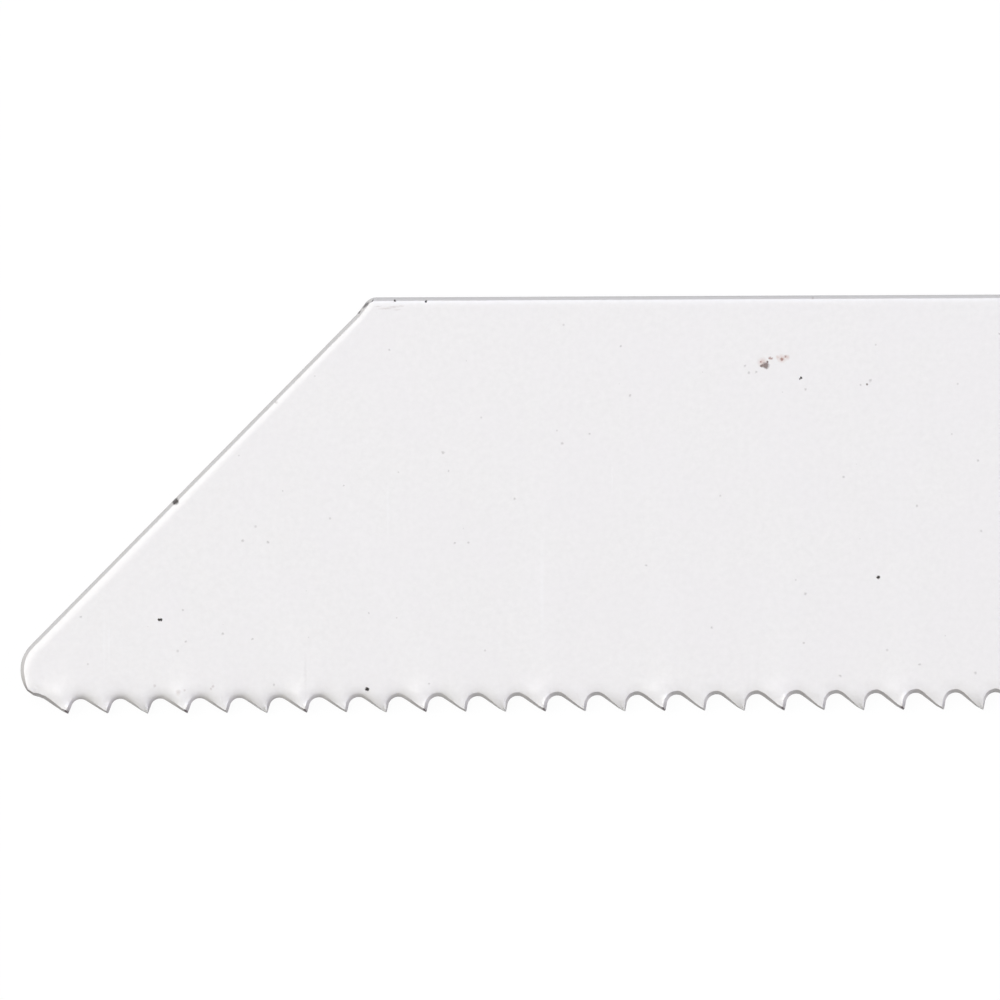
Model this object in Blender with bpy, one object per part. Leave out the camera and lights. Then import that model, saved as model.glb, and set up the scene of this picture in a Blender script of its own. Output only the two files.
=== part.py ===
"""Reciprocating saw blade for cutting metal: one strip of steel with milled teeth and a plug-in tang.

The blade lies flat. X runs from the nose at -X to the end of the tang at +X, the teeth point
to -Y, and the upper face looks to +Z. The lowest tooth tips touch Z = 0, and the origin is
below the middle of the blade. The outline is drawn from the nose and the line of the tooth
tips, then moved so that the middle of the blade lands on the origin.
"""

import math

import bmesh
import bpy
from mathutils import Vector

MM = 0.001
INCH = 25.4 * MM

# The strip
OVERALL_LENGTH = 150.0 * MM
BLADE_WIDTH = 18.9 * MM
THICKNESS = 0.9 * MM
EDGE_ROUND = 0.14 * MM

# The nose, its slanted end and the blunt corner where the slant meets the back
SLANT_ANGLE = 45.15
NOSE_RADIUS = 1.6 * MM
NOSE_CENTRE_HEIGHT = 2.0 * MM
NOSE_ROUND_END = 224.0
NOSE_LAND = 0.45 * MM
CORNER_LAND_HEIGHT = 0.78 * MM
CORNER_LAND_ANGLE = 52.0
CORNER_RADIUS = 0.6 * MM

# The teeth, with their cutting faces towards the tang
TEETH_PER_INCH = 14
TOOTH_DEPTH = 0.71 * MM
GULLET_RADIUS = 0.48 * MM
RAKE_LEAN = 15.0
RELIEF_ANGLE = 29.0
RELIEF_LENGTH = 0.32 * MM
PLAIN_EDGE_LENGTH = 3.5 * MM

# The set: teeth bent up, left straight and bent down in turn, from a line above the gullets
SET_TO_EACH_SIDE = 0.15 * MM
BEND_START_ABOVE_GULLETS = 0.89 * MM
BEND_LENGTH = 0.8 * MM
SET_ORDER = (1, 0, -1)

# The tang
TANG_LENGTH = 25.0 * MM
TANG_WIDTH = 12.7 * MM
TANG_BELOW_BACK = 2.3 * MM
TOOTH_SHOULDER_ANGLE = 50.0
TOOTH_SHOULDER_RADIUS = 1.2 * MM
BACK_SHOULDER_ANGLE = 60.0
BACK_SHOULDER_RADIUS = 1.0 * MM
TAB_WIDTH = 7.2 * MM
TAB_LENGTH = 6.2 * MM
TAB_SLOPE_ANGLE = 45.0
TAB_RADIUS = 0.9 * MM
TAB_ROOT_RADIUS = 1.0 * MM
HOLE_DIAMETER = 6.5 * MM
HOLE_FROM_END = 13.5 * MM

# Fineness of the arcs
ARC_STEP = 12.0
HOLE_SIDES = 40
EDGE_ROUND_SEGMENTS = 2
SHARE_OF_SIDE_ROUNDED = 0.48

PITCH = INCH / TEETH_PER_INCH
BEND_START = TOOTH_DEPTH + BEND_START_ABOVE_GULLETS
TANG_START = OVERALL_LENGTH - TANG_LENGTH
TANG_TOP = BLADE_WIDTH - TANG_BELOW_BACK
TANG_FOOT = TANG_TOP - TANG_WIDTH
TANG_MIDDLE = TANG_TOP - TANG_WIDTH / 2


def direction(angle):
    """The unit vector at this angle in degrees, turned left from +X."""
    return Vector((math.cos(math.radians(angle)), math.sin(math.radians(angle))))


def arc(centre, radius, start, end):
    """Points along an arc, both ends among them, from one angle in degrees to another."""
    steps = max(2, math.ceil(abs(end - start) / ARC_STEP))
    return [centre + radius * direction(start + (end - start) * i / steps) for i in range(steps + 1)]


def rounded_corner(before, corner, after, radius):
    """The arc that rounds a corner, tangent to both of its sides and inside their nearer halves."""
    half_turn = (before - corner).angle(after - corner) / 2
    shorter = min((before - corner).length, (after - corner).length)
    reach = min(radius / math.tan(half_turn), shorter * SHARE_OF_SIDE_ROUNDED)
    radius = reach * math.tan(half_turn)
    back = (before - corner).normalized()
    ahead = (after - corner).normalized()
    centre = corner + (back + ahead).normalized() * radius / math.sin(half_turn)
    first = corner + back * reach - centre
    last = corner + ahead * reach - centre
    start = math.degrees(math.atan2(first.y, first.x))
    sweep = (math.degrees(math.atan2(last.y, last.x)) - start + 180.0) % 360.0 - 180.0
    return arc(centre, radius, start, start + sweep)


def touch_angle(point, centre, radius):
    """Where the upper line from a point to a circle touches it, as an angle at the circle's centre."""
    away = point - centre
    opening = math.degrees(math.acos(min(1.0, radius / away.length)))
    return math.degrees(math.atan2(away.y, away.x)) + opening


def gullet_centre():
    """The centre of the gullet after a tooth, measured from that tooth's tip."""
    height = TOOTH_DEPTH - GULLET_RADIUS
    lean = math.radians(RAKE_LEAN)
    return Vector(((GULLET_RADIUS + height * math.sin(lean)) / math.cos(lean), height))


def relief_heel():
    """Where the relief behind a tip ends, measured from that tip."""
    return RELIEF_LENGTH * direction(180.0 - RELIEF_ANGLE)


def gap_after_tip():
    """The cutter's profile from one tip to just before the next, measured from the first tip."""
    centre = gullet_centre()
    next_heel = Vector((PITCH, 0.0)) + relief_heel()
    face_end = 180.0 - RAKE_LEAN
    back_start = touch_angle(next_heel, centre, GULLET_RADIUS)
    rise = arc(centre, GULLET_RADIUS, face_end, 90.0)
    fall = arc(centre, GULLET_RADIUS, 90.0, back_start)
    return rise + fall[1:] + [next_heel]


def nose_centre():
    return Vector((NOSE_RADIUS, NOSE_CENTRE_HEIGHT))


def nose_end():
    """Where the round of the nose ends, just before the first gullet."""
    return nose_centre() + NOSE_RADIUS * direction(NOSE_ROUND_END)


def first_tip():
    """How far the first tip is from the nose: a land, then the far half of a gullet."""
    return nose_end().x + NOSE_LAND + PITCH - gullet_centre().x


def tooth_shoulder_foot():
    """Where the plain edge turns up to the tang."""
    return TANG_START - TANG_FOOT / math.tan(math.radians(TOOTH_SHOULDER_ANGLE))


def tooth_tips():
    """The tips, from the nose to the plain edge."""
    count = int((tooth_shoulder_foot() - PLAIN_EDGE_LENGTH - first_tip()) / PITCH)
    return [Vector((first_tip() + n * PITCH, 0.0)) for n in range(count)]


def toothed_edge():
    """From the top of the gullet before the first tip to the start of the plain edge."""
    gap = gap_after_tip()
    top = gullet_centre().x
    before_first = [point for point in gap if point.x > top - GULLET_RADIUS / 100]
    points = [point + Vector((first_tip() - PITCH, 0.0)) for point in before_first]
    for tip in tooth_tips():
        points.append(tip)
        points.extend(tip + point for point in gap)
    points.append(tooth_tips()[-1] + Vector((PITCH, 0.0)))
    return points


def tang_and_back():
    """From the tooth-side shoulder round the tang and along the back to the end of the slant."""
    back_run = TANG_BELOW_BACK / math.tan(math.radians(BACK_SHOULDER_ANGLE))
    slope_height = (TANG_WIDTH - TAB_WIDTH) / 2
    slope_run = slope_height / math.tan(math.radians(TAB_SLOPE_ANGLE))
    tab_start = OVERALL_LENGTH - TAB_LENGTH
    tab_low = TANG_MIDDLE - TAB_WIDTH / 2
    tab_high = TANG_MIDDLE + TAB_WIDTH / 2
    land_start, land_end = corner_land()
    corners = [
        (tooth_shoulder_foot(), 0.0, TOOTH_SHOULDER_RADIUS),
        (TANG_START, TANG_FOOT, TOOTH_SHOULDER_RADIUS),
        (tab_start - slope_run, TANG_FOOT, TAB_ROOT_RADIUS),
        (tab_start, tab_low, TAB_ROOT_RADIUS),
        (OVERALL_LENGTH, tab_low, TAB_RADIUS),
        (OVERALL_LENGTH, tab_high, TAB_RADIUS),
        (tab_start, tab_high, TAB_ROOT_RADIUS),
        (tab_start - slope_run, TANG_TOP, TAB_ROOT_RADIUS),
        (TANG_START, TANG_TOP, BACK_SHOULDER_RADIUS),
        (TANG_START - back_run, BLADE_WIDTH, BACK_SHOULDER_RADIUS),
        (land_end.x, land_end.y, CORNER_RADIUS),
    ]
    start = toothed_edge()[-1]
    sites = [start] + [Vector(corner[:2]) for corner in corners] + [land_start]
    points = []
    for i, corner in enumerate(corners):
        points.extend(rounded_corner(sites[i], sites[i + 1], sites[i + 2], corner[2]))
    return points


def corner_land():
    """The steeper stretch at the top of the slant, from the slant up to the line of the back."""
    slant_foot = nose_centre() + NOSE_RADIUS * direction(90.0 + SLANT_ANGLE)
    land_foot = BLADE_WIDTH - CORNER_LAND_HEIGHT
    run = (land_foot - slant_foot.y) / math.tan(math.radians(SLANT_ANGLE))
    start = Vector((slant_foot.x + run, land_foot))
    land_run = CORNER_LAND_HEIGHT / math.tan(math.radians(CORNER_LAND_ANGLE))
    return start, start + Vector((land_run, CORNER_LAND_HEIGHT))


def outline():
    """The blade seen from above, anticlockwise from the nose."""
    nose = arc(nose_centre(), NOSE_RADIUS, 90.0 + SLANT_ANGLE, NOSE_ROUND_END)
    return nose + toothed_edge() + tang_and_back() + [corner_land()[0]]


def hole_outline():
    centre = Vector((OVERALL_LENGTH - HOLE_FROM_END, TANG_MIDDLE))
    return [centre + HOLE_DIAMETER / 2 * direction(360.0 * i / HOLE_SIDES) for i in range(HOLE_SIDES)]


def add_closed_line(curve, points):
    line = curve.splines.new("POLY")
    line.points.add(len(points) - 1)
    for place, point in zip(line.points, points):
        place.co = (point.x, point.y, 0.0, 1.0)
    line.use_cyclic_u = True


def sheared_blank():
    """The flat strip with its outline and its hole, as a welded mesh with whole flat faces."""
    curve = bpy.data.curves.new("outline", "CURVE")
    curve.dimensions = "2D"
    curve.fill_mode = "BOTH"
    curve.extrude = THICKNESS / 2
    add_closed_line(curve, outline())
    add_closed_line(curve, hole_outline())
    drawn = bpy.data.objects.new("outline", curve)
    bpy.context.scene.collection.objects.link(drawn)
    graph = bpy.context.evaluated_depsgraph_get()
    mesh = bpy.data.meshes.new_from_object(drawn.evaluated_get(graph))
    bpy.data.objects.remove(drawn)
    body = bmesh.new()
    body.from_mesh(mesh)
    bpy.data.meshes.remove(mesh)
    bmesh.ops.remove_doubles(body, verts=body.verts, dist=THICKNESS / 1000)
    flat = [edge for edge in body.edges if edge.calc_face_angle(1.0) < math.radians(0.1)]
    bmesh.ops.dissolve_edges(body, edges=flat, use_verts=False)
    bmesh.ops.recalc_face_normals(body, faces=body.faces)
    return body


def round_the_rim(body):
    """Rounds the long edges of the strip, the tang and the hole, which shearing leaves rolled over."""
    near = THICKNESS / 1000
    above = nose_end().y - near
    beyond = toothed_edge()[-1].x - near
    rim = []
    for edge in body.edges:
        level = abs(edge.verts[0].co.z - edge.verts[1].co.z) < near
        clear_of_teeth = all(vert.co.y > above or vert.co.x > beyond for vert in edge.verts)
        if level and clear_of_teeth and edge.calc_face_angle(0.0) > math.radians(45.0):
            rim.append(edge)
    bmesh.ops.bevel(
        body,
        geom=rim,
        offset=EDGE_ROUND,
        segments=EDGE_ROUND_SEGMENTS,
        profile=0.5,
        affect="EDGES",
    )


def cut_where(body, axis, place, top):
    """Splits the faces below the line top along a level or an upright plane, and keeps both sides."""
    geom = set()
    for face in body.faces:
        places = [vert.co[axis] for vert in face.verts]
        highest = max(vert.co.y for vert in face.verts)
        if highest < top + THICKNESS / 1000 and min(places) < place < max(places):
            geom.update([face, *face.edges, *face.verts])
    normal = Vector((0.0, 0.0, 0.0))
    normal[axis] = 1.0
    bmesh.ops.bisect_plane(
        body, geom=list(geom), dist=THICKNESS / 10000, plane_co=normal * place, plane_no=normal
    )


def far_side_of_gullet():
    """How far past a tip the gullet's arc reaches."""
    return gullet_centre().x + GULLET_RADIUS


def divide_the_set_band(body):
    """Cuts rows above the gullets and columns on both sides of each gullet, so that the band can bend."""
    for share in (0.0, 0.5, 1.0):
        cut_where(body, 1, BEND_START - share * BEND_LENGTH, BLADE_WIDTH)
    before_first = first_tip() - PITCH
    for tip in [before_first] + [tip.x for tip in tooth_tips()]:
        for column in (tip, tip + far_side_of_gullet()):
            cut_where(body, 0, column, BEND_START)


def set_share(x, start, count):
    """The set at a place along the edge, 1 up to -1 down, changing smoothly over each gullet."""
    n = math.floor((x - start) / PITCH)
    part = min(1.0, (x - start - n * PITCH) / far_side_of_gullet())
    eased = part * part * (3.0 - 2.0 * part)
    before, after = (SET_ORDER[k % len(SET_ORDER)] if 0 <= k < count else 0 for k in (n, n + 1))
    return before + (after - before) * eased


def bend_reach(below):
    """How far a bend carries a point this far below its start: a round stretch, then a straight one."""
    if below < 0.0:
        return 0.0
    if below < BEND_LENGTH:
        return below * below / (2.0 * BEND_LENGTH)
    return below - BEND_LENGTH / 2.0


def set_teeth(body):
    """Bends the teeth in turn, with the sheet kept square to its bent middle."""
    divide_the_set_band(body)
    start, count = first_tip(), len(tooth_tips())
    step = THICKNESS / 100

    def lean(x, y):
        share = bend_reach(BEND_START - y) / bend_reach(BEND_START)
        return SET_TO_EACH_SIDE * set_share(x, start, count) * share

    for vert in body.verts:
        x, y, z = vert.co
        if y < BEND_START:
            slope_x = (lean(x + step, y) - lean(x - step, y)) / (2.0 * step)
            slope_y = (lean(x, y + step) - lean(x, y - step)) / (2.0 * step)
            vert.co = (x - z * slope_x, y - z * slope_y, z + lean(x, y))


def rest_on_origin(body):
    """Moves the blade so that its lowest tips are at Z = 0, with its middle above the origin."""
    places = [vert.co for vert in body.verts]
    lowest = Vector([min(place[axis] for place in places) for axis in range(3)])
    highest = Vector([max(place[axis] for place in places) for axis in range(3)])
    middle = (lowest + highest) / 2
    bmesh.ops.translate(body, verts=body.verts, vec=-Vector((middle.x, middle.y, lowest.z)))


def enamel():
    """White enamel on steel, a little cool and half glossy."""
    material = bpy.data.materials.new("white_enamel")
    material.use_nodes = True
    shader = material.node_tree.nodes["Principled BSDF"]
    shader.inputs["Base Color"].default_value = (0.84, 0.83, 0.84, 1.0)
    shader.inputs["Roughness"].default_value = 0.35
    shader.inputs["Metallic"].default_value = 0.0
    return material


def make_blade(collection):
    body = sheared_blank()
    round_the_rim(body)
    set_teeth(body)
    rest_on_origin(body)
    mesh = bpy.data.meshes.new("blade")
    body.to_mesh(mesh)
    body.free()
    mesh.shade_smooth()
    mesh.set_sharp_from_angle(angle=math.radians(35.0))
    mesh.materials.append(enamel())
    blade = bpy.data.objects.new("blade", mesh)
    collection.objects.link(blade)


def main():
    for old in list(bpy.data.objects):
        bpy.data.objects.remove(old)
    collection = bpy.data.collections.new("reciprocating_saw_blade")
    bpy.context.scene.collection.children.link(collection)
    make_blade(collection)


main()
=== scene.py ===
"""White-enamelled blade of a reciprocating saw, lying flat on a white table and seen from above.

One fine piece stands for the plain solid of the frame. It has the same outline and the same
teeth, set to the same sides, and adds what the solid leaves out: the steep band that shearing
leaves along the rim, the face rolling over towards it, the enamel gathered in the gullets near
the nose, and the lip along the cutting faces of the teeth that are bent up. Places are measured
from the nose and from the line of the tooth tips, then moved onto the frame. Angles are in
degrees, and lengths in metres, apart from those on the enamel, which are in plain millimetres.
"""

import math
from typing import NamedTuple

import bpy
from mathutils import Matrix, Vector, geometry, kdtree


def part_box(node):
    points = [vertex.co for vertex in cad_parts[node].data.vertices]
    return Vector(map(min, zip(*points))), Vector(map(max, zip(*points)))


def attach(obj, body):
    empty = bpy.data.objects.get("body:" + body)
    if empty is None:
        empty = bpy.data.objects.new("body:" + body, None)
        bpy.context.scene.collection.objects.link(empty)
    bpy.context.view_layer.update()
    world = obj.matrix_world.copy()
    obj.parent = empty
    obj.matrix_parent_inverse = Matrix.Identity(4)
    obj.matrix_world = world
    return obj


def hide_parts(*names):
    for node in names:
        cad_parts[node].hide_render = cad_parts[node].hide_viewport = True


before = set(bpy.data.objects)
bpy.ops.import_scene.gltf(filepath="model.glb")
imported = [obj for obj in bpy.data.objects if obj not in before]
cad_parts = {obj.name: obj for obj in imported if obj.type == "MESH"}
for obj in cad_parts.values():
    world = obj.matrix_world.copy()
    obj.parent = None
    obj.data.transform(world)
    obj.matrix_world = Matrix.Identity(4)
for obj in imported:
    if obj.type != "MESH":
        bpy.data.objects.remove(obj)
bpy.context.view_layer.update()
CAD_LOW, CAD_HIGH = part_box("blade")

MM = 0.001
INCH = 25.4 * MM

# The strip
OVERALL_LENGTH = CAD_HIGH.x - CAD_LOW.x
BLADE_WIDTH = 18.9 * MM
THICKNESS = 0.9 * MM

# The nose, its slanted end and the blunt corner where the slant meets the back
SLANT_ANGLE = 45.15
SLANT_FACING = 90.0 + SLANT_ANGLE
NOSE_RADIUS = 1.6 * MM
NOSE_CENTRE = Vector((1.614, 1.986)) * MM
NOSE_ROUND_END = 216.0
NOSE_LAND = 0.45 * MM
NOSE_FOOT_PLACES = ((0.60, 0.835), (0.92, 0.735), (1.10, 0.66), (1.865, 0.14))
NOSE_FOOT_LINE = [Vector(place) * MM for place in NOSE_FOOT_PLACES]
CORNER_LAND_HEIGHT = 0.78 * MM
CORNER_LAND_ANGLE = 52.0
CORNER_RADIUS = 0.6 * MM

# The teeth. Enamel fills the gullets near the nose, so they are shallower and narrower there
PITCH = INCH / 14
FIRST_TIP = 2.155 * MM
TOOTH_COUNT = 63
DEPTH_AT_NOSE = 0.645 * MM
DEPTH_WHERE_THIN = 0.775 * MM
ENAMEL_THINS_OVER = 45.0 * MM
GULLET_RADIUS = 0.48 * MM
FILLED_RADIUS = 0.44 * MM
RAKE_LEAN = 15.0
FILLED_LEAN = 27.0
FILLED_UNTIL = 24.0 * MM
RELIEF_ANGLE = 28.0
RELIEF_LENGTH = 0.34 * MM
TIP_SHIFT = Vector((0.03, -0.02)) * MM
TIP_RADIUS = 0.04 * MM

# The set: teeth bent up, left straight and bent down in turn, a little askew. Each group of three
# values is for these teeth in this order
SET_TO_EACH_SIDE = 0.15 * MM
SET_ORDER = (1.0, 0.0, -1.5)
BEND_STARTS = (2.1 * MM, 1.6 * MM, 1.05 * MM)
BEND_LENGTH = 0.8 * MM
BEND_SKEW = 0.35
BLEND_WIDTH = 1.04 * MM

# The lip along the cutting faces
LIP_HEIGHTS = (0.033 * MM, 0.011 * MM, 0.0)
LIP_CLEAR_OF_TIP = 0.3 * MM
LIP_WIDTH = 0.15 * MM
LIP_SHARPNESS = 1.5

# The faces of the teeth dip towards the tips
DIPS = (0.08 * MM, 0.085 * MM, 0.12 * MM)
DIP_FROM = 0.9 * MM

# The tang
TANG_LENGTH = 25.0 * MM
TANG_WIDTH = 12.7 * MM
TANG_BELOW_BACK = 2.3 * MM
TOOTH_SHOULDER_ANGLE = 50.0
TOOTH_SHOULDER_RADIUS = 1.2 * MM
BACK_SHOULDER_ANGLE = 60.0
BACK_SHOULDER_RADIUS = 1.0 * MM
TAB_WIDTH = 7.2 * MM
TAB_LENGTH = 6.2 * MM
TAB_SLOPE_ANGLE = 45.0
TAB_RADIUS = 0.9 * MM
TAB_ROOT_RADIUS = 1.0 * MM
HOLE_DIAMETER = 6.5 * MM
HOLE_FROM_END = 13.5 * MM

# The edges: a steep band, and inside it a face that rolls over towards the band
BAND_SLOPE = math.tan(math.radians(62.0))
RIM_BAND = 0.16 * MM
NOSE_FOOT_BAND = 0.08 * MM
GULLET_BAND = 0.16 * MM
BACK_BAND = 0.13 * MM
RAKE_BAND = 0.14 * MM
BACK_SHARE_AT_TIPS = 0.55
RAKE_SHARE_AT_TIPS = 0.8
NOSE_ROLL_SLOPE = 0.27
RIM_ROLL_SLOPE = 0.2
NOSE_FOOT_ROLL_SLOPE = 0.05
GULLET_ROLL_SLOPE = 0.26
ROLL_SHARE_AT_TIPS = (0.0, 0.1, 1.3)
ROLL_AT_NOSE = 0.4 * MM
ROLL_ALONG_BACK = 0.28 * MM
GULLET_ROLL = 0.5 * MM
NOSE_FOOT = 3.0 * MM

# How much of the outline's direction points towards the tang, or for the nose towards the tooth
# side, where it starts to count as one of these and where it counts fully
CUTTING_FACE = (0.5, 0.9)
LIPPED_FACE = (0.35, 0.85)
TOOTH_BACK = (-0.1, -0.45)
FOOT_OF_NOSE = (0.2, 0.65)

# Heights above the tips, as shares of the gullet's depth
CROWN_STARTS = 0.3
CROWN_WHOLE = 0.9
ROLL_WHOLE = 0.6

# Each tooth's own stretch of the edge starts this share of a pitch before its tip
TOOTH_BEFORE_TIP = 0.6

# Enamel gathered in the gullets near the nose, in place of band and roll
GATHERED_SLOPE = 1.9
GATHERED_LENGTH = 0.185 * MM
GATHERED_FROM = 1.6 * MM
GATHERED_FULLY = 2.4 * MM
GATHERED_UNTIL = 9.0 * MM
GATHERED_GONE = 31.0 * MM

# How thin the enamel lies on the outline, where 1 is bare steel. Its grey is partly painted shade:
# it darkens the steep bands, the tips of the teeth bent up and the cutting faces of the teeth bent down
THIN_AND_SHADE_ON_NOSE_FOOT = 0.75
THIN_AND_SHADE_ON_RIM = 0.2
THIN_AND_SHADE_ON_BACKS = 0.45
THIN_AND_SHADE_IN_GULLETS = 0.26
THIN_AND_SHADE_IN_FULL_GULLETS = 0.35
THIN_AND_SHADE_AT_TIPS = (1.0, 0.45, 0.15)
TIP_HEIGHT = 0.09 * MM
TIP_SHADE_SPOT = 0.09 * MM
THIN_AND_SHADE_ON_RAKES = (0.0, 0.03, 0.17)
THIN_AND_SHADE_LOW_ON_RAKES = 0.3
LOW_ON_RAKE = 0.5 * MM
THIN_REACH = 0.07 * MM

# Fineness of the outline. A round takes up to nearly half of the shorter side
ARC_STEP = 6.0
TIP_ARC_STEP = 30.0
HOLE_ARC_STEP = 4.0
MOST_OF_A_SIDE = 0.48
TOOTH_STEP = 0.055 * MM
RIM_STEP = 0.4 * MM

# Fineness of the face, which is laid out in rows that follow the edges. A mitre is at most so many
# times as long as its row is deep, and a point is dropped where another edge comes nearer to it
# than its own edge. How near an edge is, is measured at this many of its nearest points
MITRE_LIMIT = 5.0
STILL_ITS_OWN = 0.985
NEAREST_POINTS = 3
BAND_ROWS = (0.5, 0.94, 1.06)
ROLL_ROWS = [place * MM for place in (0.03, 0.07, 0.13, 0.21, 0.31, 0.43, 0.57, 0.74)]
LATTICE_STEP = 0.2 * MM
LATTICE_TOP = 1.85 * MM
SMOOTH_ANGLE = 25.0
SLOPE_STEP = THICKNESS / 100
WELD = 0.001 * MM
SAME_PLACE = 0.000001 * MM

# The enamel's patterns, in plain millimetres
GRAIN = 0.25
PATCH = 3.0
SPECK_SPACING = 3.6
SPECK_WIDTH = 0.13
RAGGED_GRAIN = 0.12
RAGGED_SHIFT = 0.12
ORANGE_PEEL = 0.9

# The enamel's finish. Its roughness stays below 0.274, past which the denoiser works another way,
# because a face that has both shows sharp patches when seen from low down
ENAMEL_IOR = 1.5
GLOSSIEST = 0.24
DULLEST = 0.27
PEEL_DEPTH = 0.0015 * MM
PEEL_STRENGTH = 0.3

# Patches and specks, in shares. A noise lies mostly between low and high
NOISE_LOW = 0.35
NOISE_MIDDLE = 0.5
NOISE_HIGH = 0.65
PATCH_STRENGTH = 0.3
CELLS_WITHOUT_SPECK = 0.45
NO_SPECK = 0.001
SPECK_FULL_TO = 0.5
SPECK_GONE_BY = 1.3
SPECK_STRENGTH = 0.24
DUST = "7D746E"
# Steel below the enamel, whose grey also serves as painted shade on the edges
STEEL_AND_PAINTED_SHADE = "544247"

# Streaks: which way each kind runs, and how many times as long as wide it is
CORNER_STRETCH = 3.0
SCRATCH_ANGLE = 3.0
SCRATCH_STRETCH = 6.0
UPRIGHT = 90.0
PALE_STRETCH = 20.0
DARK_STRETCH = 13.0

# Marks on the face: millimetres from the nose and from the line of the tips, and their width
CHIPS = (
    (7.11, 9.65, 0.30),
    (6.36, 4.25, 0.14),
    (6.44, 4.25, 0.14),
    (35.66, 15.15, 0.10),
    (35.60, 15.09, 0.08),
    (39.13, 6.04, 0.17),
    (15.81, 1.04, 0.18),
    (17.16, 18.75, 0.09),
    (18.58, 18.70, 0.12),
)
RUST_PITS = (
    (34.05, 15.71, 0.28),
    (33.86, 15.70, 0.15),
    (34.11, 15.86, 0.10),
    (38.65, 14.84, 0.09),
)
RUST_CRUST = ((34.06, 15.71, 0.20),)
RUST_DOTS = (
    (33.83, 15.88, 0.08),
    (34.24, 16.05, 0.12),
    (34.33, 16.02, 0.08),
    (34.78, 16.00, 0.13),
    (34.94, 16.12, 0.09),
)
RUST_STAINS = (
    (33.90, 15.85, 0.30),
    (34.60, 16.08, 0.14),
    (34.78, 16.02, 0.26),
    (35.02, 16.08, 0.16),
)
RUBBED_EDGE = (
    (36.20, 18.78, 0.10),
    (6.14, 1.25, 0.10),
    (7.21, 0.94, 0.18),
    (7.50, 1.04, 0.09),
    (8.70, 1.10, 0.10),
    (8.80, 1.21, 0.10),
)
CORNER_STREAKS = (
    (15.84, 18.56, 0.12),
    (15.53, 18.22, 0.06),
    (16.13, 18.73, 0.05),
)
FAINT_SCRATCHES = (
    (16.39, 18.48, 0.04),
    (16.73, 18.39, 0.07),
    (17.12, 18.46, 0.06),
    (17.25, 18.32, 0.04),
    (17.44, 18.50, 0.04),
)
PALE_STREAKS = (
    (16.80, 9.30, 0.10),
    (3.84, 3.19, 0.09),
    (4.06, 3.19, 0.09),
    (23.80, 5.65, 0.15),
    (27.02, 10.65, 0.06),
)
DARK_STREAK = ((13.01, 1.78, 0.10),)
GREY_SPECKS = (
    (33.10, 15.70, 0.10),
    (33.27, 15.38, 0.10),
    (33.60, 15.42, 0.09),
    (35.85, 14.62, 0.10),
    (7.45, 4.70, 0.10),
    (9.26, 3.60, 0.10),
    (7.57, 3.25, 0.09),
    (2.79, 4.39, 0.09),
    (10.18, 7.85, 0.11),
    (11.73, 14.13, 0.10),
    (16.89, 16.50, 0.09),
    (19.33, 11.81, 0.11),
    (19.85, 7.69, 0.09),
    (22.57, 9.70, 0.10),
    (24.75, 12.20, 0.10),
    (27.45, 16.62, 0.10),
    (27.86, 14.38, 0.10),
    (28.55, 6.64, 0.09),
    (31.54, 3.79, 0.10),
    (35.72, 3.07, 0.09),
    (37.57, 10.62, 0.10),
    (37.37, 1.56, 0.10),
    (40.99, 2.06, 0.10),
    (43.53, 1.66, 0.12),
    (44.69, 17.10, 0.09),
    (38.81, 15.01, 0.14),
    (38.36, 14.81, 0.08),
    (11.33, 7.76, 0.10),
    (10.60, 3.36, 0.10),
    (11.57, 1.26, 0.09),
    (12.01, 10.10, 0.08),
    (15.92, 4.52, 0.07),
    (14.80, 10.33, 0.07),
    (19.58, 10.98, 0.08),
    (20.47, 7.71, 0.09),
    (26.00, 12.64, 0.09),
    (18.64, 1.28, 0.09),
    (43.83, 8.12, 0.10),
    (40.90, 9.28, 0.09),
    (35.79, 5.31, 0.11),
    (43.69, 11.34, 0.09),
)

# The table and the light
FLOOR_SIZE = 3.0
FLOOR_WHITE = 0.965
FLOOR_SHADOW = "3A3A3A"
FLOOR_BOUNCE = "909090"
AMBIENT_LEVEL = 0.18

# The view: the nose and the first teeth, from straight above
VIEW_WIDTH = 45.55 * MM
VIEW_MIDDLE = Vector((21.91, 9.64)) * MM
VIEW_ROLL = 0.262
CAMERA_DISTANCE = 0.6

# What follows from the sizes above
TANG_START = OVERALL_LENGTH - TANG_LENGTH
TANG_TOP = BLADE_WIDTH - TANG_BELOW_BACK
TANG_FOOT = TANG_TOP - TANG_WIDTH
TANG_MIDDLE = TANG_TOP - TANG_WIDTH / 2
LAST_TIP = FIRST_TIP + (TOOTH_COUNT - 1) * PITCH
PLAIN_EDGE = LAST_TIP + PITCH
LATTICE_COLUMNS = round(PLAIN_EDGE / LATTICE_STEP) + 3
LATTICE_LINES = round(LATTICE_TOP / LATTICE_STEP) + 1
MESH_TO_FRAME = Vector((CAD_LOW.x, CAD_HIGH.y - BLADE_WIDTH, (CAD_LOW.z + CAD_HIGH.z) / 2))
VIEW_CENTRE = MESH_TO_FRAME.to_2d() + VIEW_MIDDLE

# The mesh carries how thin the enamel lies, with the painted shade on the edges, under this name
THIN_ENAMEL_AND_SHADE = "thin_enamel_and_painted_shade"

# The kind of triangles asked for: those inside the regions
INSIDE_REGIONS = 1

# Sockets of the node that mixes two colours
FIRST = 6
SECOND = 7
RESULT = 2


def mix(first, second, share):
    return first + (second - first) * share


def eased(value, start, end):
    """0 at the start and 1 at the end, with a smooth change between."""
    share = min(1.0, max(0.0, (value - start) / (end - start)))
    return share * share * (3.0 - 2.0 * share)


def direction(angle):
    return Vector((math.cos(math.radians(angle)), math.sin(math.radians(angle))))


def arc(centre, radius, start, end, step=ARC_STEP):
    """Points along a part of a circle, with both its ends."""
    steps = max(2, math.ceil(abs(end - start) / step))
    return [centre + radius * direction(mix(start, end, i / steps)) for i in range(steps + 1)]


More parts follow.
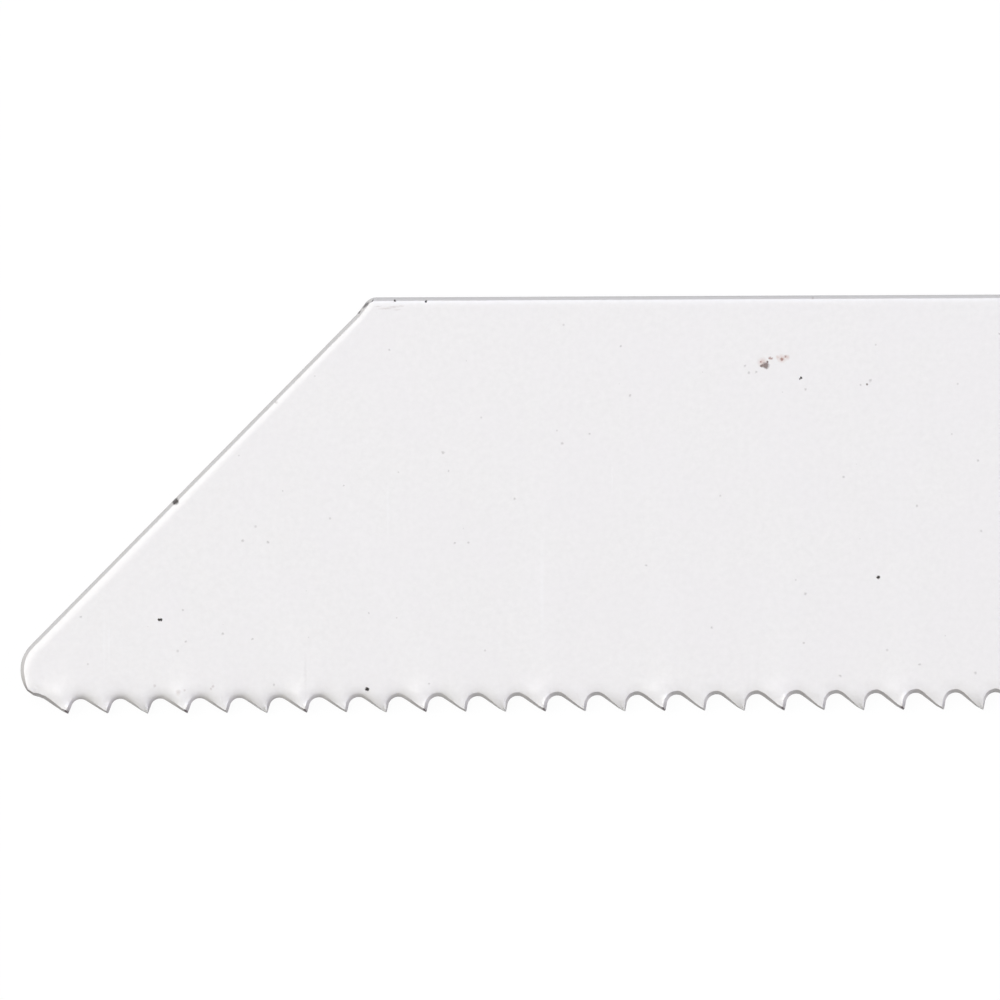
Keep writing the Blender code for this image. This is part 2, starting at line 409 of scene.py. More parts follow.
def rounded_corner(before, corner, after, radius, step=ARC_STEP):
    """The round that takes a corner's place, smaller where a side is too short for it."""
    half_turn = (before - corner).angle(after - corner) / 2
    shorter = min((before - corner).length, (after - corner).length)
    reach = min(radius / math.tan(half_turn), shorter * MOST_OF_A_SIDE)
    radius = reach * math.tan(half_turn)
    back = (before - corner).normalized()
    ahead = (after - corner).normalized()
    centre = corner + (back + ahead).normalized() * radius / math.sin(half_turn)
    first = corner + back * reach - centre
    last = corner + ahead * reach - centre
    start = math.degrees(math.atan2(first.y, first.x))
    sweep = (math.degrees(math.atan2(last.y, last.x)) - start + 180.0) % 360.0 - 180.0
    return arc(centre, radius, start, start + sweep, step)


def divided(points, step):
    """The same line with its straight runs cut into steps."""
    finer = [points[0]]
    for before, after in zip(points, points[1:]):
        count = max(1, round((after - before).length / step))
        finer.extend(before.lerp(after, i / count) for i in range(1, count + 1))
    return finer


def gullet_depth(x):
    return mix(DEPTH_AT_NOSE, DEPTH_WHERE_THIN, min(1.0, x / ENAMEL_THINS_OVER))


def filled(x):
    """1 where the enamel fills the corners of the gullets, 0 where they are as they were milled."""
    return eased(x, FILLED_UNTIL, 0.0)


def gullet_radius(x):
    return mix(GULLET_RADIUS, FILLED_RADIUS, filled(x))


def rake_lean(x):
    return mix(RAKE_LEAN, FILLED_LEAN, filled(x))


def gullet_centre(tip):
    radius = gullet_radius(tip.x)
    height = gullet_depth(tip.x) - radius
    lean = math.radians(rake_lean(tip.x))
    return tip + Vector(((radius + height * math.sin(lean)) / math.cos(lean), height))


def relief_heel(tip):
    return tip + RELIEF_LENGTH * direction(180.0 - RELIEF_ANGLE)


def gap_after(tip):
    """The cutter's path round the gullet after a tip, up to the heel of the next tooth."""
    centre = gullet_centre(tip)
    radius = gullet_radius(tip.x)
    heel = relief_heel(tip + Vector((PITCH, 0.0)))
    away = heel - centre
    opening = math.degrees(math.acos(radius / away.length))
    back_start = math.degrees(math.atan2(away.y, away.x)) + opening
    return arc(centre, radius, 180.0 - rake_lean(tip.x), back_start) + [heel]


def toothed_edge():
    """From the foot of the nose to the plain edge, with small rounds at the tips."""
    line = list(NOSE_FOOT_LINE)
    for n in range(TOOTH_COUNT):
        tip = Vector((FIRST_TIP + n * PITCH, 0.0))
        gap = gap_after(tip)
        line.extend(rounded_corner(line[-1], tip + TIP_SHIFT, gap[0], TIP_RADIUS, TIP_ARC_STEP))
        line.extend(gap)
    line.append(Vector((PLAIN_EDGE, 0.0)))
    return divided(line, TOOTH_STEP)


def rest_of_outline(start):
    """From the plain edge round the tang and along the back to the slanted end."""
    back_run = TANG_BELOW_BACK / math.tan(math.radians(BACK_SHOULDER_ANGLE))
    shoulder_run = TANG_FOOT / math.tan(math.radians(TOOTH_SHOULDER_ANGLE))
    slope_run = (TANG_WIDTH - TAB_WIDTH) / 2 / math.tan(math.radians(TAB_SLOPE_ANGLE))
    tab_start = OVERALL_LENGTH - TAB_LENGTH
    tab_low = TANG_MIDDLE - TAB_WIDTH / 2
    tab_high = TANG_MIDDLE + TAB_WIDTH / 2
    slant_foot = NOSE_CENTRE + NOSE_RADIUS * direction(SLANT_FACING)
    land_foot = BLADE_WIDTH - CORNER_LAND_HEIGHT
    slant_run = (land_foot - slant_foot.y) / math.tan(math.radians(SLANT_ANGLE))
    land_start = Vector((slant_foot.x + slant_run, land_foot))
    land_run = CORNER_LAND_HEIGHT / math.tan(math.radians(CORNER_LAND_ANGLE))
    corners = [
        (TANG_START - shoulder_run, 0.0, TOOTH_SHOULDER_RADIUS),
        (TANG_START, TANG_FOOT, TOOTH_SHOULDER_RADIUS),
        (tab_start - slope_run, TANG_FOOT, TAB_ROOT_RADIUS),
        (tab_start, tab_low, TAB_ROOT_RADIUS),
        (OVERALL_LENGTH, tab_low, TAB_RADIUS),
        (OVERALL_LENGTH, tab_high, TAB_RADIUS),
        (tab_start, tab_high, TAB_ROOT_RADIUS),
        (tab_start - slope_run, TANG_TOP, TAB_ROOT_RADIUS),
        (TANG_START, TANG_TOP, BACK_SHOULDER_RADIUS),
        (TANG_START - back_run, BLADE_WIDTH, BACK_SHOULDER_RADIUS),
        (land_start.x + land_run, BLADE_WIDTH, CORNER_RADIUS),
    ]
    sites = [start] + [Vector(corner[:2]) for corner in corners] + [land_start]
    line = [start]
    for i, corner in enumerate(corners):
        line.extend(rounded_corner(sites[i], sites[i + 1], sites[i + 2], corner[2]))
    return divided(line + [land_start, slant_foot], RIM_STEP)


class Station(NamedTuple):
    """A place on the outline, how the face falls towards it, and its thin enamel and painted shade."""

    place: Vector
    band: float
    roll_slope: float
    roll: float
    gathered: float
    lip: float
    thin: float
    thin_width: float


def tooth_number(x):
    return math.floor((x - FIRST_TIP) / PITCH + TOOTH_BEFORE_TIP)


def station(place, outward):
    """What the edge is like at one place, from where that lies and which way it faces."""
    x, y = place
    depth = gullet_depth(x)
    tooth_class = tooth_number(x) % len(SET_ORDER)

    # What the place belongs to, each from 0 to 1
    land_start = (NOSE_CENTRE + NOSE_RADIUS * direction(NOSE_ROUND_END)).x
    toothed = eased(x, land_start, land_start + NOSE_LAND)
    toothed *= eased(x, PLAIN_EDGE, PLAIN_EDGE - PITCH / 2)
    if y > max(BEND_STARTS):
        toothed = 0.0
    crown = eased(y, CROWN_STARTS * depth, CROWN_WHOLE * depth)
    rake = eased(outward.x, *CUTTING_FACE)
    back = eased(outward.x, *TOOTH_BACK)
    at_tip = toothed * eased(y, TIP_HEIGHT, TIP_HEIGHT / 2)
    foot = eased(-outward.y, *FOOT_OF_NOSE) if x < NOSE_FOOT else 0.0
    along_slant = eased(x, NOSE_RADIUS, BLADE_WIDTH)
    gathered = toothed * crown * eased(x, GATHERED_GONE, GATHERED_UNTIL)
    gathered *= eased(x, GATHERED_FROM, GATHERED_FULLY)

    # The steep band, the roll towards it and the lip
    tooth_band = mix(mix(GULLET_BAND, BACK_BAND, back), RAKE_BAND, rake)
    tooth_band *= mix(mix(BACK_SHARE_AT_TIPS, RAKE_SHARE_AT_TIPS, rake), 1.0, eased(y, 0.0, depth))
    band = mix(mix(RIM_BAND, NOSE_FOOT_BAND, foot), tooth_band, toothed)
    rim_slope = mix(mix(NOSE_ROLL_SLOPE, RIM_ROLL_SLOPE, along_slant), NOSE_FOOT_ROLL_SLOPE, foot)
    roll_share = mix(ROLL_SHARE_AT_TIPS[tooth_class], 1.0, eased(y, 0.0, ROLL_WHOLE * depth))
    tooth_slope = GULLET_ROLL_SLOPE * (1.0 - rake) * roll_share
    rim_roll = mix(ROLL_AT_NOSE, ROLL_ALONG_BACK, along_slant)
    lip = LIP_HEIGHTS[tooth_class] * toothed * eased(outward.x, *LIPPED_FACE)
    lip *= eased(y, 0.0, LIP_CLEAR_OF_TIP)

    # The enamel: thin on the edges, and painted shade on the bands and at the tips
    tooth_thin_and_shade = mix(THIN_AND_SHADE_IN_GULLETS, THIN_AND_SHADE_ON_BACKS, back) * (1.0 - rake)
    tooth_thin_and_shade = mix(tooth_thin_and_shade, THIN_AND_SHADE_IN_FULL_GULLETS, gathered)
    # Painted shade along the cutting faces, most on the teeth bent down
    tooth_thin_and_shade += THIN_AND_SHADE_ON_RAKES[tooth_class] * rake
    tooth_thin_and_shade += THIN_AND_SHADE_LOW_ON_RAKES * rake * eased(y, LOW_ON_RAKE, LOW_ON_RAKE / 3)
    # A dark spot of painted shade at the tips, darkest on the teeth bent up
    tooth_thin_and_shade = mix(tooth_thin_and_shade, THIN_AND_SHADE_AT_TIPS[tooth_class], at_tip)
    return Station(
        place=place,
        band=band,
        roll_slope=mix(rim_slope, tooth_slope, toothed),
        roll=mix(rim_roll, GULLET_ROLL, toothed),
        gathered=gathered,
        lip=lip,
        thin=mix(mix(THIN_AND_SHADE_ON_RIM, THIN_AND_SHADE_ON_NOSE_FOOT, foot), tooth_thin_and_shade, toothed),
        thin_width=mix(band, TIP_SHADE_SPOT, at_tip),
    )


def fall(inside, edge):
    """How far the face lies below its flat, this far inside the edge."""
    steep = BAND_SLOPE * max(0.0, edge.band - inside)
    rolled = edge.roll_slope * max(0.0, edge.roll + edge.band - inside) ** 2 / (2.0 * edge.roll)
    gathered = GATHERED_SLOPE * GATHERED_LENGTH * math.exp(-inside / GATHERED_LENGTH)
    share = min(1.0, max(0.0, (edge.band + LIP_WIDTH - inside) / LIP_WIDTH))
    return mix(steep + rolled, gathered, edge.gathered) - edge.lip * share ** LIP_SHARPNESS


def dip(place):
    """How far the teeth's faces dip, blended between the tooth before a place and the one after."""
    n = math.floor((place.x - FIRST_TIP) / PITCH)
    tip = FIRST_TIP + n * PITCH
    deepest = mix(DIPS[n % len(DIPS)], DIPS[(n + 1) % len(DIPS)], eased(place.x, tip, tip + BLEND_WIDTH))
    return deepest * eased(place.y, DIP_FROM, 0.0) * eased(place.x, PLAIN_EDGE, PLAIN_EDGE - PITCH)


def thinness_and_shade(inside, edge):
    """How thin the enamel lies this far inside the edge, with the painted shade that darkens it.

    It is thin all over the band, or in a gullet full of enamel only close to the outline.
    """
    on_band = 1.0 if inside < edge.thin_width else 0.0
    return edge.thin * mix(on_band, math.exp(-inside / THIN_REACH), edge.gathered)


def mitres(loop):
    """For each point of a closed loop, the way inwards that keeps it as far from both its sides."""
    found = []
    for i, place in enumerate(loop):
        before = (place - loop[i - 1]).normalized()
        after = (loop[(i + 1) % len(loop)] - place).normalized()
        inward = Vector((-before.y - after.y, before.x + after.x)).normalized()
        square_on = Vector((-after.y, after.x))
        found.append(inward / max(1.0 / MITRE_LIMIT, inward.dot(square_on)))
    return found


class Edges:
    """All points of the outline and the hole, to ask how far a place is from them."""

    def __init__(self, loops):
        self.sides = []
        self.stations = []
        for loop in loops:
            for i, (place, inward) in enumerate(zip(loop, mitres(loop))):
                self.sides.append((loop[i - 1], place, loop[(i + 1) % len(loop)]))
                self.stations.append(station(place, -inward.normalized()))
        self.tree = kdtree.KDTree(len(self.sides))
        for i, side in enumerate(self.sides):
            self.tree.insert(side[1].to_3d(), i)
        self.tree.balance()

    def nearest_station(self, place):
        return self.stations[self.tree.find(place.to_3d())[1]]

    def distance(self, place):
        found = []
        for _, i, _ in self.tree.find_n(place.to_3d(), NEAREST_POINTS):
            before, here, after = self.sides[i]
            for a, b in ((before, here), (here, after)):
                nearest, share = geometry.intersect_point_line(place, a, b)
                if 0.0 <= share <= 1.0:
                    found.append((place - nearest.to_2d()).length)
            found.append((place - here).length)
        return min(found)


def blade_loops():
    nose = arc(NOSE_CENTRE, NOSE_RADIUS, SLANT_FACING, NOSE_ROUND_END)
    teeth = toothed_edge()
    outline = nose[1:] + teeth + rest_of_outline(teeth[-1])[1:]
    hole_centre = Vector((OVERALL_LENGTH - HOLE_FROM_END, TANG_MIDDLE))
    hole = arc(hole_centre, HOLE_DIAMETER / 2, 360.0, 0.0, HOLE_ARC_STEP)[:-1]
    return outline, hole


def face_points(loops, edges):
    """Points on the face, each with how far it lies inside its edge, and that edge.

    Rows follow the edges, and a lattice fills the strip above the gullets, where the teeth bend.
    """
    points = [(edge.place, 0.0, edge) for edge in edges.stations]
    inward = [way for loop in loops for way in mitres(loop)]
    for way, edge in zip(inward, edges.stations):
        band_rows = [edge.band * share for share in BAND_ROWS]
        for row in band_rows + [band_rows[-1] + row for row in ROLL_ROWS]:
            inside = edge.place + way * row
            if edges.distance(inside) > row * STILL_ITS_OWN:
                points.append((inside, row, edge))
    clear = GULLET_BAND + ROLL_ROWS[-1] + LATTICE_STEP / 3
    for i in range(LATTICE_COLUMNS):
        for j in range(LATTICE_LINES):
            place = Vector((i * LATTICE_STEP, j * LATTICE_STEP))
            distance = edges.distance(place)
            if place.y > DEPTH_AT_NOSE and distance > clear and place.x > NOSE_RADIUS:
                points.append((place, distance, edges.nearest_station(place)))
    return points


def upper_face():
    """The upper face as an open sheet, from the middle of the thickness up."""
    loops = blade_loops()
    points = face_points(loops, Edges(loops))
    outline, hole = (len(loop) for loop in loops)
    regions = [range(outline), range(outline + hole - 1, outline - 1, -1)]
    places = [place for place, _, _ in points]
    filling = geometry.delaunay_2d_cdt(places, [], regions, INSIDE_REGIONS, SAME_PLACE, True)
    flat, _, faces, sources, _, regions_of_faces = filling
    corners, thin = [], []
    for place, source in zip(flat, sources):
        _, distance, edge = points[source[0]]
        corners.append((place.x, place.y, THICKNESS / 2 - fall(distance, edge) - dip(place)))
        thin.append(thinness_and_shade(distance, edge))

    # Metal lies in the first region, the outline, and not in the second, the hole, as well
    metal = [face for face, its_regions in zip(faces, regions_of_faces) if its_regions == [0]]
    mesh = bpy.data.meshes.new("enamelled_blade")
    mesh.from_pydata(corners, [], metal)
    mesh.attributes.new(THIN_ENAMEL_AND_SHADE, "FLOAT", "POINT").data.foreach_set("value", thin)
    sheet = bpy.data.objects.new("enamelled_blade", mesh)
    bpy.context.scene.collection.objects.link(sheet)
    return sheet


def make_active(piece):
    bpy.ops.object.select_all(action="DESELECT")
    piece.select_set(True)
    bpy.context.view_layer.objects.active = piece


def close_the_body(sheet):
    """Draws the edge of the sheet down to the middle of the thickness, and mirrors it there."""
    make_active(sheet)
    bpy.ops.object.mode_set(mode="EDIT")
    bpy.ops.mesh.select_mode(type="EDGE")
    bpy.ops.mesh.select_all(action="DESELECT")
    bpy.ops.mesh.select_non_manifold(
        use_wire=False, use_multi_face=False, use_non_contiguous=False, use_verts=False
    )
    bpy.ops.mesh.extrude_region_move()
    bpy.ops.transform.resize(value=(1.0, 1.0, 0.0), center_override=(0.0, 0.0, 0.0))
    bpy.ops.object.mode_set(mode="OBJECT")
    mirror = sheet.modifiers.new("other_face", "MIRROR")
    mirror.use_axis = (False, False, True)
    mirror.merge_threshold = WELD
    bpy.ops.object.modifier_apply(modifier=mirror.name)


def set_of(n):
    return SET_ORDER[n % len(SET_ORDER)] if 0 <= n < TOOTH_COUNT else 0.0


def bend_reach(below):
    """How far a bend carries a place that lies this far below its start, before it is scaled."""
    if below < 0.0:
        return 0.0
    if below < BEND_LENGTH:
        return below * below / (2.0 * BEND_LENGTH)
    return below - BEND_LENGTH / 2.0


def tooth_lean(n, x, y):
    """How far the set of one tooth carries a place up or down."""
    start = BEND_STARTS[n % len(BEND_STARTS)]
    below = start - y + BEND_SKEW * min(0.0, x - FIRST_TIP - n * PITCH)
    return SET_TO_EACH_SIDE * set_of(n) * bend_reach(below) / bend_reach(start)


def lean(x, y):
    """The set at any place, blended between the tooth before it and the one after."""
    n = math.floor((x - FIRST_TIP) / PITCH)
    tip = FIRST_TIP + n * PITCH
    return mix(tooth_lean(n, x, y), tooth_lean(n + 1, x, y), eased(x, tip, tip + BLEND_WIDTH))


def set_the_teeth(body):
    """Bends the body along the set. Each point keeps its distance from the bent middle."""
    for vert in body.data.vertices:
        x, y, z = vert.co
        if y < max(BEND_STARTS) and x < PLAIN_EDGE + PITCH:
            rise_x = lean(x + SLOPE_STEP, y) - lean(x - SLOPE_STEP, y)
            rise_y = lean(x, y + SLOPE_STEP) - lean(x, y - SLOPE_STEP)
            slope_x = rise_x / (2.0 * SLOPE_STEP)
            slope_y = rise_y / (2.0 * SLOPE_STEP)
            vert.co = (x - z * slope_x, y - z * slope_y, z + lean(x, y))


def make_blade():
    blade = upper_face()
    close_the_body(blade)
    set_the_teeth(blade)
    blade.data.transform(Matrix.Translation(MESH_TO_FRAME))
    make_active(blade)
    bpy.ops.object.shade_smooth_by_angle(angle=math.radians(SMOOTH_ANGLE))
    return blade


def linear(hex_colour):
    """An sRGB colour such as "EFEDEE" as linear numbers."""
    parts = [int(hex_colour[i : i + 2], 16) / 255 for i in (0, 2, 4)]
    return [p / 12.92 if p <= 0.04045 else ((p + 0.055) / 1.055) ** 2.4 for p in parts] + [1.0]


def add_node(tree, kind, settings=None, inputs=None):
    """Adds a node, sets its properties, and fills its inputs with values or links."""
    node = tree.nodes.new(kind)
    for name, value in (settings or {}).items():
        setattr(node, name, value)
    for name, value in (inputs or {}).items():
        if isinstance(value, bpy.types.NodeSocket):
            tree.links.new(value, node.inputs[name])
        else:
            node.inputs[name].default_value = value
    return node


def nearest_mark(tree, place, marks):
    """How far a place is from the nearest of some marks, where 1 is the rim of the mark."""
    nearest = None
    for x, y, width in marks:
        ends = {0: place, 1: (x, y, 0.0)}
        away = add_node(tree, "ShaderNodeVectorMath", {"operation": "DISTANCE"}, ends)
        scaled = {0: away.outputs["Value"], 1: 2.0 / width}
        share = add_node(tree, "ShaderNodeMath", {"operation": "MULTIPLY"}, scaled).outputs[0]
        if nearest is None:
            nearest = share
        else:
            both = {0: nearest, 1: share}
            nearest = add_node(tree, "ShaderNodeMath", {"operation": "MINIMUM"}, both).outputs[0]
    return nearest


def nearest_streak(tree, place, streaks, angle, stretch):
    """The same for marks drawn out along one direction."""
    lengthwise = direction(angle) / stretch
    across = direction(angle + 90.0)
    dot = {"operation": "DOT_PRODUCT"}
    along = add_node(tree, "ShaderNodeVectorMath", dot, {0: place, 1: lengthwise.to_3d()})
    beside = add_node(tree, "ShaderNodeVectorMath", dot, {0: place, 1: across.to_3d()})
    sides = {"X": along.outputs["Value"], "Y": beside.outputs["Value"]}
    turned = add_node(tree, "ShaderNodeCombineXYZ", inputs=sides).outputs[0]
    marks = []
    for x, y, width in streaks:
        centre = Vector((x, y))
        marks.append((lengthwise.dot(centre), across.dot(centre), width))
    return nearest_mark(tree, turned, marks)


def mottled_white(tree, solid, patch):
    """A fine grain of a quarter of a millimetre, under soft patches of a few millimetres."""
    grain_inputs = {"Vector": solid, "Scale": 1 / GRAIN, "Detail": 3.0, "Roughness": 0.6}
    grain = add_node(tree, "ShaderNodeTexNoise", inputs=grain_inputs)
    whites = {0: grain.outputs["Fac"], FIRST: linear("E7E5E2"), SECOND: linear("F2F0ED")}
    white = add_node(tree, "ShaderNodeMix", {"data_type": "RGBA"}, whites).outputs[RESULT]
    patch_inputs = {
        "Value": patch,
        "From Min": NOISE_LOW,
        "From Max": NOISE_HIGH,
        "To Max": PATCH_STRENGTH,
    }
    patched = add_node(tree, "ShaderNodeMapRange", inputs=patch_inputs).outputs[0]
    whites = {0: patched, FIRST: white, SECOND: linear("ECE9E8")}
    return add_node(tree, "ShaderNodeMix", {"data_type": "RGBA"}, whites).outputs[RESULT]


def with_dust(tree, colour, flat):
    """Specks of dust: in each cell of a few millimetres one speck or none, of its own size."""
    settings = {"voronoi_dimensions": "2D"}
    cell_inputs = {"Vector": flat, "Scale": 1 / SPECK_SPACING}
    cells = add_node(tree, "ShaderNodeTexVoronoi", settings, cell_inputs)
    chance = add_node(tree, "ShaderNodeSeparateColor", inputs={0: cells.outputs["Color"]})
    size_inputs = {
        "Value": chance.outputs["Red"],
        "From Min": CELLS_WITHOUT_SPECK,
        "To Min": NO_SPECK,
        "To Max": SPECK_WIDTH / 2 / SPECK_SPACING,
    }
    speck_size = add_node(tree, "ShaderNodeMapRange", inputs=size_inputs).outputs[0]
    speck_share = {0: cells.outputs["Distance"], 1: speck_size}
    speck_edge = add_node(tree, "ShaderNodeMath", {"operation": "DIVIDE"}, speck_share).outputs[0]
    speck_inputs = {
        "Value": speck_edge,
        "From Min": SPECK_FULL_TO,
        "From Max": SPECK_GONE_BY,
        "To Min": SPECK_STRENGTH,
        "To Max": 0.0,
    }
    specks = add_node(tree, "ShaderNodeMapRange", inputs=speck_inputs).outputs[0]
    colours = {0: specks, FIRST: colour, SECOND: linear(DUST)}
    return add_node(tree, "ShaderNodeMix", {"data_type": "RGBA"}, colours).outputs[RESULT]


def with_marks(tree, colour, solid, flat):
    """The marks that stand out on the upper face, each with a ragged rim."""
    height = add_node(tree, "ShaderNodeSeparateXYZ", inputs={0: solid}).outputs["Z"]
    above = {0: height, 1: 0.0}
    upper = add_node(tree, "ShaderNodeMath", {"operation": "GREATER_THAN"}, above).outputs[0]

    # A fine noise shifts each place a little, and the marks are looked for from there
    ragged_inputs = {"Vector": solid, "Scale": 1 / RAGGED_GRAIN, "Detail": 2.0}
    ragged = add_node(tree, "ShaderNodeTexNoise", inputs=ragged_inputs)
    centred = {0: ragged.outputs["Color"], 1: [NOISE_MIDDLE] * 3}
    shift = add_node(tree, "ShaderNodeVectorMath", {"operation": "SUBTRACT"}, centred).outputs[0]
    shifted = {0: shift, 1: (RAGGED_SHIFT, RAGGED_SHIFT, 0.0), 2: flat}
    uneven = add_node(tree, "ShaderNodeVectorMath", {"operation": "MULTIPLY_ADD"}, shifted).outputs[0]
    scratches = nearest_streak(tree, uneven, FAINT_SCRATCHES, SCRATCH_ANGLE, SCRATCH_STRETCH)
    corner_streaks = nearest_streak(tree, uneven, CORNER_STREAKS, SLANT_ANGLE, CORNER_STRETCH)
    pale_streaks = nearest_streak(tree, uneven, PALE_STREAKS, UPRIGHT, PALE_STRETCH)
    dark_streak = nearest_streak(tree, uneven, DARK_STREAK, UPRIGHT, DARK_STRETCH)

    # From the lowest up: how far away the marks are, their colour, how strong it is in their
    # middle, and how soft their rim is
    for rim, hex_colour, strength, soft in (
        (pale_streaks, "FFFFFF", 0.14, 0.8),
        (dark_streak, DUST, 0.08, 0.8),
        (nearest_mark(tree, uneven, GREY_SPECKS), "8C8580", 0.4, 0.6),
        (scratches, "A08C86", 0.3, 0.8),
        (nearest_mark(tree, uneven, RUBBED_EDGE), "A08C86", 0.35, 0.7),
        (nearest_mark(tree, uneven, RUST_STAINS), "B4826A", 0.42, 0.8),
        (nearest_mark(tree, uneven, RUST_DOTS), "8A5546", 0.75, 0.5),
        (nearest_mark(tree, uneven, RUST_PITS), "5C463E", 0.85, 0.3),
        (nearest_mark(tree, uneven, RUST_CRUST), "8A7C78", 0.75, 0.5),
        (corner_streaks, "2E2A2C", 0.85, 0.4),
        (nearest_mark(tree, uneven, CHIPS), "1F1814", 1.0, 0.25),
    ):
        mask_inputs = {
            "Value": rim,
            "From Min": 1.0 - soft,
            "From Max": 1.0 + soft,
            "To Min": strength,
            "To Max": 0.0,
        }
        mask = add_node(tree, "ShaderNodeMapRange", inputs=mask_inputs).outputs[0]
        both = {0: mask, 1: upper}
        on_top = add_node(tree, "ShaderNodeMath", {"operation": "MULTIPLY"}, both).outputs[0]
        colours = {0: on_top, FIRST: colour, SECOND: linear(hex_colour)}
        colour = add_node(tree, "ShaderNodeMix", {"data_type": "RGBA"}, colours).outputs[RESULT]
    return colour


def white_enamel():
    """White enamel sprayed and stoved on hardened steel.

    To the eye it is a half glossy, faintly uneven white. It draws back from sharp edges, so that
    the dark steel below greys them; the same grey is also painted shade on the steep bands, at the
    tips of the teeth bent up and along the cutting faces of the teeth bent down. Dust baked into it
    shows as fine specks, and a few chips go down to the steel, one cluster of them rusty.
    """
    material = bpy.data.materials.new("sprayed_white_enamel")
    material.use_nodes = True
    tree = material.node_tree
    shader = tree.nodes["Principled BSDF"]
    shader.inputs["IOR"].default_value = ENAMEL_IOR

    # Places in millimetres from the nose and the line of the tips, and the same laid flat
    coordinates = add_node(tree, "ShaderNodeTexCoord")
    to_millimetres = {
        "Vector": coordinates.outputs["Object"],
        "Location": -MESH_TO_FRAME / MM,
        "Scale": [1 / MM] * 3,
    }
    solid = add_node(tree, "ShaderNodeMapping", inputs=to_millimetres).outputs[0]
    flat_inputs = {0: solid, 1: (1.0, 1.0, 0.0)}
    flat = add_node(tree, "ShaderNodeVectorMath", {"operation": "MULTIPLY"}, flat_inputs).outputs[0]
    patch_inputs = {"Vector": solid, "Scale": 1 / PATCH, "Detail": 2.0}
    patch = add_node(tree, "ShaderNodeTexNoise", inputs=patch_inputs).outputs["Fac"]

    # The white, its specks and marks, and sharp edges where the steel below shows, partly as painted
    # shade
    colour = mottled_white(tree, solid, patch)
    colour = with_dust(tree, colour, flat)
    colour = with_marks(tree, colour, solid, flat)
    thin = add_node(tree, "ShaderNodeAttribute", {"attribute_name": THIN_ENAMEL_AND_SHADE}).outputs["Fac"]
    colours = {0: thin, FIRST: colour, SECOND: linear(STEEL_AND_PAINTED_SHADE)}
    colour = add_node(tree, "ShaderNodeMix", {"data_type": "RGBA"}, colours).outputs[RESULT]
    tree.links.new(colour, shader.inputs["Base Color"])

    # Gloss that varies a little, and the orange peel that sprayed enamel dries with
    gloss_inputs = {"Value": patch, "To Min": GLOSSIEST, "To Max": DULLEST}
    gloss = add_node(tree, "ShaderNodeMapRange", inputs=gloss_inputs).outputs[0]
    tree.links.new(gloss, shader.inputs["Roughness"])
    peel_inputs = {"Vector": solid, "Scale": 1 / ORANGE_PEEL, "Detail": 1.0}
    peel = add_node(tree, "ShaderNodeTexNoise", inputs=peel_inputs).outputs["Fac"]
    bump_inputs = {"Height": peel, "Strength": PEEL_STRENGTH, "Distance": PEEL_DEPTH}
    bump = add_node(tree, "ShaderNodeBump", inputs=bump_inputs)
    tree.links.new(bump.outputs[0], shader.inputs["Normal"])
    return material


def looked_at(tree):
    """1 for what the eye meets directly, in gloss or through glass, and 0 for what lights things."""
    path = add_node(tree, "ShaderNodeLightPath")
    eye_or_gloss = {0: path.outputs["Is Camera Ray"], 1: path.outputs["Is Glossy Ray"]}
    seen = add_node(tree, "ShaderNodeMath", {"operation": "MAXIMUM"}, eye_or_gloss).outputs[0]
    any_look = {0: seen, 1: path.outputs["Is Transmission Ray"]}
    return add_node(tree, "ShaderNodeMath", {"operation": "MAXIMUM"}, any_look).outputs[0]


def add_floor():
    """A table that looks white, keeps a faint shadow and throws little light back at the blade."""
    bpy.ops.mesh.primitive_plane_add(size=FLOOR_SIZE)
    floor = bpy.context.object
    floor.name = "table"
    material = bpy.data.materials.new("matt_white_laminate")
    material.use_nodes = True
    tree = material.node_tree
    tree.nodes.remove(tree.nodes["Principled BSDF"])
    lit = add_node(tree, "ShaderNodeBsdfDiffuse", inputs={"Color": linear(FLOOR_BOUNCE)}).outputs[0]
    white = add_node(tree, "ShaderNodeEmission", inputs={"Strength": FLOOR_WHITE}).outputs[0]
    shaded = add_node(tree, "ShaderNodeBsdfDiffuse", inputs={"Color": linear(FLOOR_SHADOW)}).outputs[0]
    pale = add_node(tree, "ShaderNodeAddShader", inputs={0: white, 1: shaded}).outputs[0]
    shares = {0: looked_at(tree), 1: lit, 2: pale}
    both = add_node(tree, "ShaderNodeMixShader", inputs=shares).outputs[0]
    tree.links.new(both, tree.nodes["Material Output"].inputs["Surface"])
    floor.data.materials.append(material)


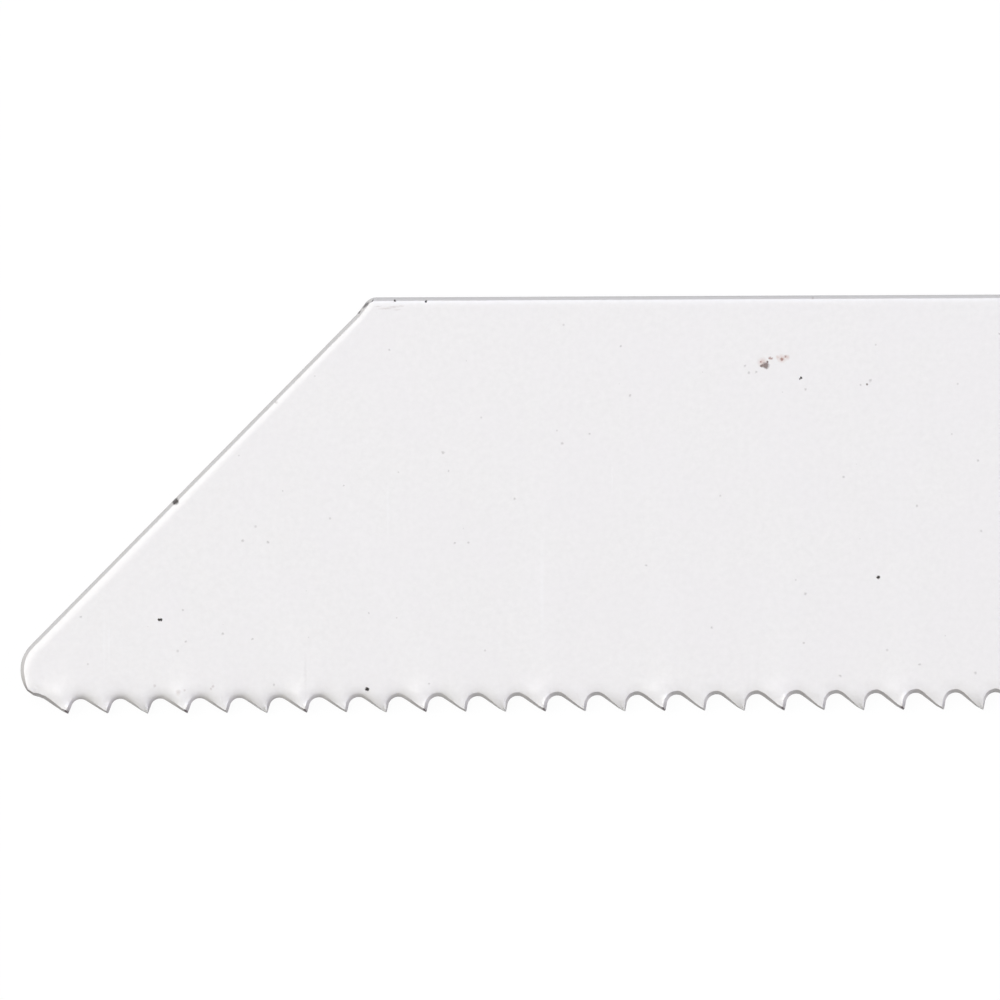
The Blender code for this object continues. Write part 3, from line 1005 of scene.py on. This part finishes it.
def add_world():
    """White where it is looked at or mirrored, and a low even light on the blade."""
    world = bpy.data.worlds.new("studio")
    bpy.context.scene.world = world
    world.use_nodes = True
    tree = world.node_tree
    background = tree.nodes["Background"]
    levels = {"Value": looked_at(tree), "To Min": AMBIENT_LEVEL, "To Max": 1.0}
    strength = add_node(tree, "ShaderNodeMapRange", inputs=levels).outputs[0]
    tree.links.new(strength, background.inputs["Strength"])
    background.inputs["Color"].default_value = linear("FFFFFF")


def add_camera():
    data = bpy.data.cameras.new("camera")
    camera = bpy.data.objects.new("camera", data)
    bpy.context.scene.collection.objects.link(camera)
    data.lens = data.sensor_width * CAMERA_DISTANCE / VIEW_WIDTH
    data.clip_start = CAMERA_DISTANCE / 10
    camera.location = (*VIEW_CENTRE, CAD_HIGH.z + CAMERA_DISTANCE)
    camera.rotation_euler = (0.0, 0.0, math.radians(-VIEW_ROLL))
    bpy.context.scene.camera = camera


def add_lamp(name, towards, tilt, distance, size, power, colour):
    """A round soft lamp that faces the middle of the view.

    It hangs off straight above by the tilt, towards an angle that counts from the picture's right.
    """
    data = bpy.data.lights.new(name, "AREA")
    data.shape = "DISK"
    data.size = size
    data.energy = power
    data.color = linear(colour)[:3]
    lamp = bpy.data.objects.new(name, data)
    bpy.context.scene.collection.objects.link(lamp)
    away = direction(towards) * math.sin(math.radians(tilt))
    way = Vector((away.x, away.y, math.cos(math.radians(tilt))))
    lamp.location = VIEW_CENTRE.to_3d() + way * distance
    lamp.rotation_euler = way.to_track_quat("Z", "Y").to_euler()
    lamp.visible_camera = False


blade = make_blade()
blade.data.materials.append(white_enamel())
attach(blade, "root")
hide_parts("blade")
add_floor()
add_world()
add_camera()
add_lamp("softbox", towards=141.0, tilt=31.0, distance=1.2, size=0.98, power=8.9, colour="FFFCF3")
add_lamp("left_glint", towards=176.0, tilt=34.0, distance=0.6, size=0.2, power=0.52, colour="FFFFFF")
add_lamp("cool_top", towards=90.0, tilt=32.0, distance=0.6, size=0.38, power=0.75, colour="B8CEFF")
add_lamp("right_fill", towards=0.0, tilt=60.0, distance=0.6, size=0.4, power=1.4, colour="F8F4FF")
bpy.context.scene.view_settings.view_transform = "Standard"
